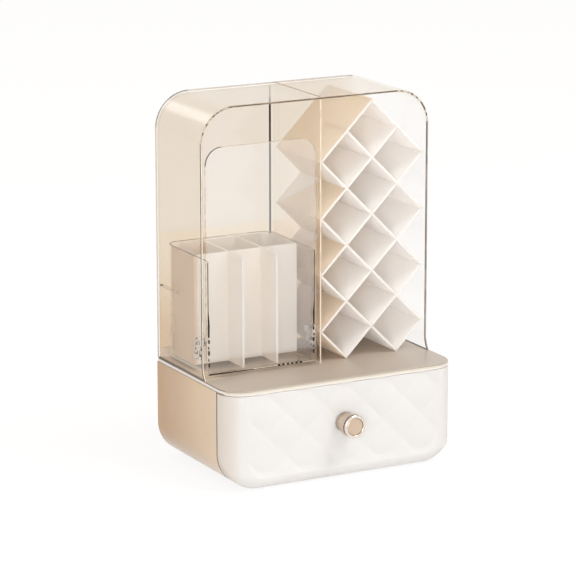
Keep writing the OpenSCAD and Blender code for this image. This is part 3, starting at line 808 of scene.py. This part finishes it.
def drawer_front():
    """Quilted face on a fine grid, and rings round its back that run to the hollow CAD shell."""
    # Half width of the flat stretch, and the grid's steps across it and up
    flat, across, up = HALF_W - DECK_R, 216, 88
    side = [flat + DECK_R * math.sin(t) for t in quarter(40)]
    middle = [-flat + 2 * flat * i / across for i in range(1, across)]
    columns = [-x for x in reversed(side)] + middle + side
    foot = [Z_BASE + FRONT_EDGE_R * (1 - math.cos(t)) for t in quarter(16)]
    straight_top = FRONT_TOP - TOP_EDGE_R
    body = [foot[-1] + (straight_top - foot[-1]) * i / up for i in range(1, up + 1)]
    top = [straight_top + TOP_EDGE_R * math.sin(t) for t in quarter(4)[1:]]
    rows = foot + body + top
    points, faces = [], []
    centre_z = Z_BASE + BASE_R
    for z in rows:
        half = HALF_W
        if z < centre_z:
            half = HALF_W - BASE_R + math.sqrt(max(BASE_R**2 - (centre_z - z) ** 2, 0))
        for column in columns:
            x = column * half / HALF_W
            points.append((x, Y_FRONT + rim_depth(x, z) + quilt_depth(x, z), z))
    m, n = len(columns), len(rows)
    for r in range(n - 1):
        for c in range(m - 1):
            i = r * m + c
            faces.append((i, i + 1, i + m + 1, i + m))
    loop = list(range(m)) + [r * m + m - 1 for r in range(1, n)]
    loop += [(n - 1) * m + c for c in reversed(range(m - 1))] + [r * m for r in reversed(range(1, n - 1))]
    outline = [(points[i][0], points[i][2]) for i in loop]
    previous = loop
    # Each ring's inset from the outline, and its place from the front's back edge
    hollow = ((0, -0.4), (0.4, 0), (FRONT_WALL, 0), (FRONT_WALL, -7), (5, -14), (10, -18), (22, -21.5))
    half_h = (FRONT_TOP - Z_BASE) / 2
    for inset, back in hollow:
        wide, tall = 1 - inset / HALF_W, 1 - inset / half_h
        ring = [(x * wide, Z_BASE + half_h + (z - Z_BASE - half_h) * tall) for x, z in outline]
        start = len(points)
        points += [(x, FRONT_Y1 + back, z) for x, z in ring]
        now = list(range(start, start + len(ring)))
        for i in range(len(now)):
            j = (i + 1) % len(now)
            faces.append((previous[j], previous[i], now[i], now[j]))
        previous = now
    faces.append(tuple(previous))
    return make("drawer_front_quilted", points, faces, drawer_white, sharp=50)


seat(drawer_front(), "drawer", "drawer_white", "drawer_front")
dress("drawer_box", box_white, 0.4)
dress("front_screws", screw_steel, 0.1)
dress("knob_screw", screw_steel, 0.1)


def knob():
    """Stem, neck and turned head, with bands of painted light, painted highlight and painted shade, among
    them a painted bright ring round the sunk face. Each step is a radius, a height and the finish of the
    wall that leads to it."""
    head_r, rim_r, rim_y = 11.0, 1.6, -18.4
    steps = [
        (0, 0, None),
        (9.3, 0, knob_metal),
        (9.6, -0.3, knob_painted_shade),
        (9.6, -0.8, knob_painted_shade),
        (9.6, -5.0, knob_metal),
        (9.6, -10.1, knob_painted_light),
        (9.2, -10.6, knob_painted_light),
        (8.6, -10.8, knob_metal),
        (8.6, -11.8, knob_metal),
        (10.0, -12.0, knob_metal),
        (10.7, -12.2, knob_bright),
        (head_r, -12.7, knob_bright),
        (head_r, -16.6, knob_painted_light),
        (head_r, -17.9, knob_painted_shade),
        (head_r, rim_y, knob_metal),
    ]
    for i, t in enumerate(quarter(6)[1:]):
        look = knob_bright if i > 1 else knob_metal
        steps.append((head_r - rim_r * (1 - math.cos(t)), rim_y - rim_r * math.sin(t), look))
    steps += [
        (8.5, -20.0, knob_bright),
        (8.1, -19.7, knob_painted_light),
        (7.9, -18.5, knob_metal),
        (0, -18.5, knob_metal),
    ]
    profile, looks = [step[:2] for step in steps], [step[2] for step in steps[1:]]
    return lathe("knob_turned", profile, (0, Y_FRONT, KNOB_Z), "y", looks, steps=128, sharp=30)


seat(knob(), "drawer", "knob_metal", "knob_body")
FACE_PROFILE = [
    (0, -18.45),
    (7.8, -18.45),
    (7.8, -19.25),
    (7.55, -19.4),
    (7.1, -19.4),
    (6.9, -19.32),
    (0, -19.28),
]
face = lathe("knob_face_disc", FACE_PROFILE, (0, Y_FRONT, KNOB_Z), "y", knob_face_metal, sharp=30)
seat(face, "drawer", "knob_metal", "knob_face")

# Hood

TOE_H = 14.0
TOE_R = 22.1
# The arch lies this far under its CAD top, so that the divider's joint line can lie on it
SEAM_T = 0.06
# The joint line's insets from the divider's faces and from the hood's ends
SEAM_SIDE = 0.2
SEAM_END = 0.8
# Where the hood's upper corners begin
CORNER_Z = 318.0
CORNER_X = 78.0
# Further right than these, an edge is the right wall's, and the hood's back edge is clear
RIGHT_X = 60.0
CLEAR_X = 90.0


def hood_front(x, z):
    """Front edge of the hood, which runs forward in a curve at its feet."""
    up = Z_DECK + TOE_H - z
    if up <= 0:
        return Y_HOOD
    return Y_HOOD - TOE_R + math.sqrt(TOE_R**2 - up**2)


def hood_rim(x, z, kind):
    """Look of the hood's cut edges, place by place, in painted reflections."""
    corner = z > CORNER_Z and abs(x) > CORNER_X
    if kind == "high":
        if x > CLEAR_X:
            return hood_tint
        return edge_shade if z < REFLECTED_HORIZON[0] else edge_grey if corner else edge_veil
    if kind.startswith("high"):
        if kind == "high cut" and x < RIGHT_X:
            return edge_solid if corner and x < 0 else edge_shade if z < REFLECTED_HORIZON[0] else edge_veil
        return hood_tint
    if corner:
        return edge_beads if kind == "low" else edge_fawn
    if x > RIGHT_X and z < CORNER_Z:
        return edge_solid if kind == "low inner" else edge_grey
    if z > CORNER_Z:
        return edge_umber if kind == "low" else edge_fawn
    return edge_solid if kind == "low cut" else edge_cream if kind == "low" else edge_brown


toe_heights = [Z_DECK + TOE_H * i / 10 for i in range(1, 11)]
hood_path = list(reversed(bow(HOOD_HALF, HOOD_R, Z_DECK, Z_TOP - SEAM_T, steps=28, toe=toe_heights)))
arch = strip(
    "hood_arch_clear", hood_path, HOOD_WALL, hood_front, lambda x, z: Y_BACK, 0.55, "y", hood_tint, hood_rim
)
SEAM_X = (DIVIDER_X[0] + SEAM_SIDE, DIVIDER_X[1] - SEAM_SIDE)
SEAM = rounded(*SEAM_X, Y_HOOD + SEAM_END, Y_BACK - SEAM_END, SQUARE)
seam = slab("hood_seam", SEAM, Z_TOP - SEAM_T, Z_TOP, 0.01, "z", edge_seam)
seat(joined("hood_arch_clear", [arch, seam]), "base", "hood_tint", "hood_arch")

BACK_HALF = WALL_X - 0.1
BACK = rounded(-BACK_HALF, BACK_HALF, Z_DECK, BACK_TOP, (0, 0, BACK_R, BACK_R), 24)
panel = slab("back_panel", BACK, Y_INNER_BACK, Y_BACK, 0.3, "y", back_tint)
# The divider's joint shows as a dark line inside the back panel, thinner at its top
JOINT_Y = (83.7, 84.9)
JOINT_TURN = 335
JOINT = rounded(0, 1.7, Z_DECK + 1, JOINT_TURN, SQUARE)
JOINT_THIN = rounded(0.5, 1.3, JOINT_TURN, 347, SQUARE)
joint = slab("back_joint", JOINT, *JOINT_Y, 0.2, "y", edge_joint)
thin = slab("back_joint_top", JOINT_THIN, *JOINT_Y, 0.2, "y", edge_seam)
seat(joined("hood_back_clear", [panel, joint, thin]), "base", "hood_tint", "hood_back")


def divider_rim(y, z, kind):
    """Cream front edge, a painted highlight; the edge at the back panel is as clear as the wall."""
    if y > NEAR_BACK:
        return divider_tint
    return edge_cream if kind == "rim" else divider_tint


DIVIDER = rounded(Y_HOOD, Y_INNER_BACK - GLUE, Z_DECK + GLUE, DIVIDER_TOP - GLUE, SQUARE)
wall = slab("divider_clear", DIVIDER, *DIVIDER_X, 0.4, "x", divider_tint, divider_rim)
seat(wall, "base", "hood_tint", "divider")

LEDGE_Y = 80.8
LEDGE_TOP = 106
LEDGE = rounded(LEDGE_Y, Y_INNER_BACK - GLUE, Z_DECK + GLUE, LEDGE_TOP, (0, 0, 0, 0.6), 3)
# The ledge is drawn whole in edge_light, a band of painted light
ledge = slab("back_ledge_clear", LEDGE, -WALL_X + GLUE, DIVIDER_X[0], 0.2, "x", edge_light, edge_light)
seat(ledge, "base", "hood_tint", "back_ledge")

dress("lattice_rising", slat_rising, 0.25)
dress("lattice_falling", slat_falling, 0.25)
dress("lattice_back", lattice_back_white, 0.25)

# Slats left of this place, or above this line that rises at 45 degrees, face the divider
OUTSIDE_X = 31.0
OUTSIDE_RISE = 275.0


def paint_outside_shade(node):
    """Painted shade on the slat sides that face the divider, a warmer tone where they lie in the shade
    behind it: those at the lattice's left edge, and those of the topmost rising slat."""
    mesh = nodes[node].data
    mesh.materials.append(lattice_outer_shade)
    for polygon in mesh.polygons:
        x, z = polygon.center.x / MM, polygon.center.z / MM
        outside = x < OUTSIDE_X or z - x > OUTSIDE_RISE
        if outside and polygon.normal.x < -0.3 and abs(polygon.normal.y) < 0.3:
            polygon.material_index = len(mesh.materials) - 1


for node in ("lattice_rising", "lattice_falling"):
    paint_outside_shade(node)

# Bin

LUG_FOOT = [(0.75, 113), (11.5, 113)]
LUG_R = 5.5


def bracket(name, x0, x1):
    """Lug beside the bin, round about the pivot, with a straight foot."""
    outline = LUG_FOOT + arc(*PIVOT, LUG_R, -20, 200, 24)
    # Its edges take dashes of painted highlight and painted dark reflection
    return slab(name, outline, x0, x1, 0.4, "x", lug_plastic, edge_dashes)


LUGS = [bracket("lug_a", -WALL_X, LUG_FACE), bracket("lug_b", 0.0, DIVIDER_X[0])]
brackets = joined("hinge_lugs_clear", LUGS)
seat(brackets, "base", "clear_plastic", "hinge_brackets")


def rib_rim(y, z, kind):
    """Dark where the rib meets the back panel, a glued joint; faint painted reflections on its other edges.
    """
    return edge_joint if y > NEAR_BACK else edge_faint


RIB_FRONT = 47.8
RIB_Z = (165.7, 167.7)
RIB = rounded(RIB_FRONT, Y_INNER_BACK - GLUE, *RIB_Z, (0.5, 0, 0, 0.5), 3)
rib = slab("stop_rib_clear", RIB, -WALL_X + GLUE, LUG_FACE, 0.3, "x", clear_plastic, rib_rim)
seat(rib, "base", "clear_plastic", "stop_rib")
dress("bin_rests", clear_plastic, 0.3)


# Heights and places where the look of the flap's edges turns
FOOT_Z = 101
GREY_Z = 215
SOLID_Z = 285
FAWN_Z = 310
LEFT_X = -95
DASHED_X = -30


def flap_rim(x, z, kind):
    """Look of the flap's edges, in painted reflections: light and dark at its foot, dark on the upper left,
    faint elsewhere.
    """
    if z < FOOT_Z:
        return edge_cream if kind == "high" else edge_dashes if x > DASHED_X else edge_near_black
    if kind != "low":
        return edge_faint
    if x < LEFT_X:
        return edge_solid if z > SOLID_Z else edge_grey if z > GREY_Z else edge_faint
    return edge_fawn if z > FAWN_Z else edge_faint


# The flap lies this far behind its CAD face, so that the joint lines can lie on it
LINE_T = 0.08


def line(name, outline, look):
    """Thin slab on the flap's face."""
    return slab(name, outline, FLAP_FACE, FLAP_FACE + LINE_T, 0.02, "y", look)


def joint_line(name, x, out):
    """Dark line of the bin's glued side as it shows in the flap: thin above, thick, then beads below.
    Each outline holds distances from x and heights."""
    thin = [(0, 160), (0.9, 160), (0.9, 207), (0, 207)]
    thick = [(0, 136), (1.7, 136), (1.9, 148), (0.9, 160), (0, 160)]
    runs = [(thin, edge_solid), (thick, edge_joint)]
    for k, tall in enumerate((3.4, 2.6, 4.2, 2.2, 3.6)):
        z, wide = 130.5 - 5.6 * k, 1.9 - 0.5 * (k % 2)
        runs.append(([(0.2, z), (wide, z), (wide, z + tall), (0.2, z + tall)], edge_joint))
    parts = []
    for k, (outline, look) in enumerate(runs):
        placed = [(x + out * away, z) for away, z in outline]
        parts.append(line(f"{name}_{k}", placed if out > 0 else list(reversed(placed)), look))
    return parts


def joint_foot():
    """Line along the flap's foot, then a row of beads."""
    parts = [line("joint_foot", [(-112, 100), (-66, 100), (-66, 100.8), (-112, 101.5)], edge_joint)]
    for k in range(6):
        x = -40.5 + 4.6 * k
        parts.append(line(f"joint_bead_{k}", rounded(x, x + 2.6, 100.2, 102, SQUARE), edge_joint))
    return parts


FLAP = rounded(*FLAP_X, *FLAP_Z, (0, 0, 17, 17), 20)
flap = slab("flap_clear", FLAP, FLAP_FACE + LINE_T, FLAP_BACK, 0.6, "y", flap_plastic, flap_rim)
lines = [*joint_foot(), *joint_line("joint_left", -112.9, 1), *joint_line("joint_right", -1.6, -1)]
seat(joined("flap_clear", [flap, *lines]), "bin", "clear_plastic", "flap_panel")


def bin_foot(x, y):
    """Lower edge of the bin's wall, cut to swing clear of the deck."""
    reach = BACK_CUT_R**2 - (y - PIVOT[0]) ** 2
    return max(FLAP_Z[0], PIVOT[1] - math.sqrt(max(reach, 0)))


# Left of these places the bin's brim takes a brown painted reflection, and its foot a painted highlight
BRIM_BROWN_X = -108
FOOT_LIGHT_X = -100


def bin_rim(x, y, kind):
    """Look of the bin's edges, in painted reflections: dark along the outside of its brim."""
    if kind == "high":
        return edge_brown if x < BRIM_BROWN_X else edge_faint
    if kind == "end":
        return edge_faint
    if kind.startswith("low"):
        return edge_light if x < FOOT_LIGHT_X else edge_faint
    return edge_near_black if kind == "high cut" else edge_brown


def floor_rim(x, y, kind):
    """Look of the bin floor's edges, in painted reflections: light at its left."""
    return edge_light if x < FOOT_LIGHT_X else edge_faint


# Places along the bin's sides, close enough for the round cut at its foot
BIN_STEPS = [FLAP_BACK + i * 6 for i in range(12)]
# Where its rounded back corners begin, and how far back its floor goes
BIN_BEND_Y = 69.0
BIN_FLOOR_Y = 76.0
bin_path = [(BIN_X[0], y) for y in BIN_STEPS]
bin_path += arc(BIN_X[0] + BIN_BACK_R, BIN_BEND_Y, BIN_BACK_R, 180, 90, 12)
bin_path += arc(BIN_X[1] - BIN_BACK_R, BIN_BEND_Y, BIN_BACK_R, 90, 0, 12)
bin_path += [(BIN_X[1], y) for y in reversed(BIN_STEPS)]
bin_path.reverse()
walls = strip(
    "bin_walls", bin_path, BIN_WALL, bin_foot, lambda x, y: BIN_TOP, 0.45, "z", clear_plastic, bin_rim
)
FLOOR = rounded(BIN_X[0] + BIN_WALL, BIN_X[1] - BIN_WALL, FLAP_BACK, BIN_FLOOR_Y, (0, 0, 6, 6), 8)
FLOOR_Z = (FLAP_Z[0], FLAP_Z[0] + BIN_FLOOR_T)
floor_plate = slab("bin_floor", FLOOR, *FLOOR_Z, 0.3, "z", clear_plastic, floor_rim)
seat(joined("bin_clear", [walls, floor_plate]), "bin", "clear_plastic", "bin_shell")

TAB_Y = (60, 66)
TAB_Z = (104, 143)
TAB_OUT = -115.7
TAB = rounded(*TAB_Y, *TAB_Z, (1, 1, 1, 1), 4)
# Faint painted reflections on its edges
tab = slab("stop_tab_clear", TAB, TAB_OUT, BIN_X[0], 0.4, "x", clear_plastic, edge_faint)
seat(tab, "bin", "clear_plastic", "stop_tab")
dress("hinge_pins", screw_steel, 0.15)
dress("brush_insert", insert_white, 0.35)

# Stage, light and camera


def stage_floor():
    """Plain floor: white where it is seen or mirrored, apart from the object's shadow."""
    mesh = bpy.data.meshes.new("floor")
    half = 30.0
    corners = [(-half, -half, 0), (half, -half, 0), (half, half, 0), (-half, half, 0)]
    mesh.from_pydata(corners, [], [(0, 1, 2, 3)])
    floor = bpy.data.objects.new("floor", mesh)
    bpy.context.scene.collection.objects.link(floor)
    g = Graph("floor_white")
    path = g.add("ShaderNodeLightPath").outputs
    seen = g.math("ADD", path["Is Camera Ray"], path["Is Glossy Ray"], clamp=True)
    seen = g.math("ADD", seen, path["Is Transmission Ray"], clamp=True)
    pale = g.shader("ShaderNodeBsdfDiffuse", Color=(0.8, 0.79, 0.775, 1))
    soft = g.shader("ShaderNodeBsdfDiffuse", Color=(0.16, 0.155, 0.15, 1))
    glow = g.shader("ShaderNodeEmission", Color=(1, 1, 1, 1), Strength=0.88)
    both = g.add("ShaderNodeAddShader")
    g.put(both.inputs[0], soft)
    g.put(both.inputs[1], glow)
    mesh.materials.append(g.done(g.blend(seen, pale, both.outputs[0])))


stage_floor()


def world_light(level):
    """White where it is seen or mirrored; as light, a little warmer from the left."""
    world = bpy.data.worlds.new("studio")
    bpy.context.scene.world = world
    world.use_nodes = True
    tree = world.node_tree
    tree.nodes.clear()
    new, link = tree.nodes.new, tree.links.new
    out = new("ShaderNodeOutputWorld")
    seen = new("ShaderNodeBackground")
    seen.inputs["Color"].default_value = (1, 1, 1, 1)
    seen.inputs["Strength"].default_value = 1.0
    lit = new("ShaderNodeBackground")
    lit.inputs["Strength"].default_value = level
    split = new("ShaderNodeSeparateXYZ")
    link(new("ShaderNodeTexCoord").outputs["Generated"], split.inputs[0])
    side = new("ShaderNodeMapRange")
    side.inputs["From Min"].default_value = 0.1
    side.inputs["From Max"].default_value = -0.8
    link(split.outputs[0], side.inputs["Value"])
    tone = new("ShaderNodeMix")
    tone.data_type = "RGBA"
    tone.inputs[MIX_A].default_value = (1.0, 0.99, 0.98, 1)
    tone.inputs[MIX_B].default_value = (0.96, 0.88, 0.775, 1)
    link(side.outputs[0], tone.inputs["Factor"])
    link(tone.outputs[MIX_OUT], lit.inputs["Color"])
    path = new("ShaderNodeLightPath")
    both, more = new("ShaderNodeMath"), new("ShaderNodeMath")
    both.operation = more.operation = "MAXIMUM"
    mix = new("ShaderNodeMixShader")
    link(path.outputs["Is Camera Ray"], both.inputs[0])
    link(path.outputs["Is Glossy Ray"], both.inputs[1])
    link(both.outputs[0], more.inputs[0])
    link(path.outputs["Is Transmission Ray"], more.inputs[1])
    link(more.outputs[0], mix.inputs[0])
    link(lit.outputs[0], mix.inputs[1])
    link(seen.outputs[0], mix.inputs[2])
    link(mix.outputs[0], out.inputs["Surface"])


world_light(0.6)


def lamp(name, place, target, size, power, colour):
    """Soft box: place, target and size in metres."""
    data = bpy.data.lights.new(name, "AREA")
    data.shape = "RECTANGLE"
    data.size, data.size_y = size
    data.energy = power
    data.color = colour
    light = bpy.data.objects.new(name, data)
    bpy.context.scene.collection.objects.link(light)
    light.location = place
    light.rotation_mode = "QUATERNION"
    light.rotation_quaternion = (Vector(target) - Vector(place)).to_track_quat("-Z", "Y")


lamp("key", (0.9, -1.0, 2.4), (0, 0, 0.15), (1.3, 1.3), 30, (1, 0.99, 0.98))
lamp("front", (-1.3, -2.4, 0.6), (0, 0, 0.2), (1.3, 0.9), 24, (1, 0.98, 0.97))
lamp("rim", (-0.8, 2.6, 1.8), (0, 0, 0.3), (1.0, 0.9), 5, (0.97, 0.98, 1))


# The camera as solved from the photograph's straight edges
LENS = 190.82
CAMERA_PLACE = (-1319.25, -2432.94, 844.85)
CAMERA_RIGHT = (0.88266, -0.47001, -0.001492)
CAMERA_UP = (0.112903, 0.208943, 0.971388)


def camera():
    data = bpy.data.cameras.new("camera")
    data.lens = LENS
    data.sensor_width = 36.0
    data.clip_start = 0.1
    data.clip_end = 60.0
    data.dof.use_dof = False
    cam = bpy.data.objects.new("camera", data)
    bpy.context.scene.collection.objects.link(cam)
    right, up = Vector(CAMERA_RIGHT), Vector(CAMERA_UP)
    turn = Matrix((right, up, right.cross(up))).transposed().to_4x4()
    cam.matrix_world = Matrix.Translation(Vector(CAMERA_PLACE) * MM) @ turn
    bpy.context.scene.camera = cam


camera()

scene = bpy.context.scene
scene.view_settings.view_transform = "Standard"
scene.cycles.transparent_max_bounces = 32
scene.cycles.max_bounces = 16
scene.cycles.diffuse_bounces = 10
scene.cycles.glossy_bounces = 6
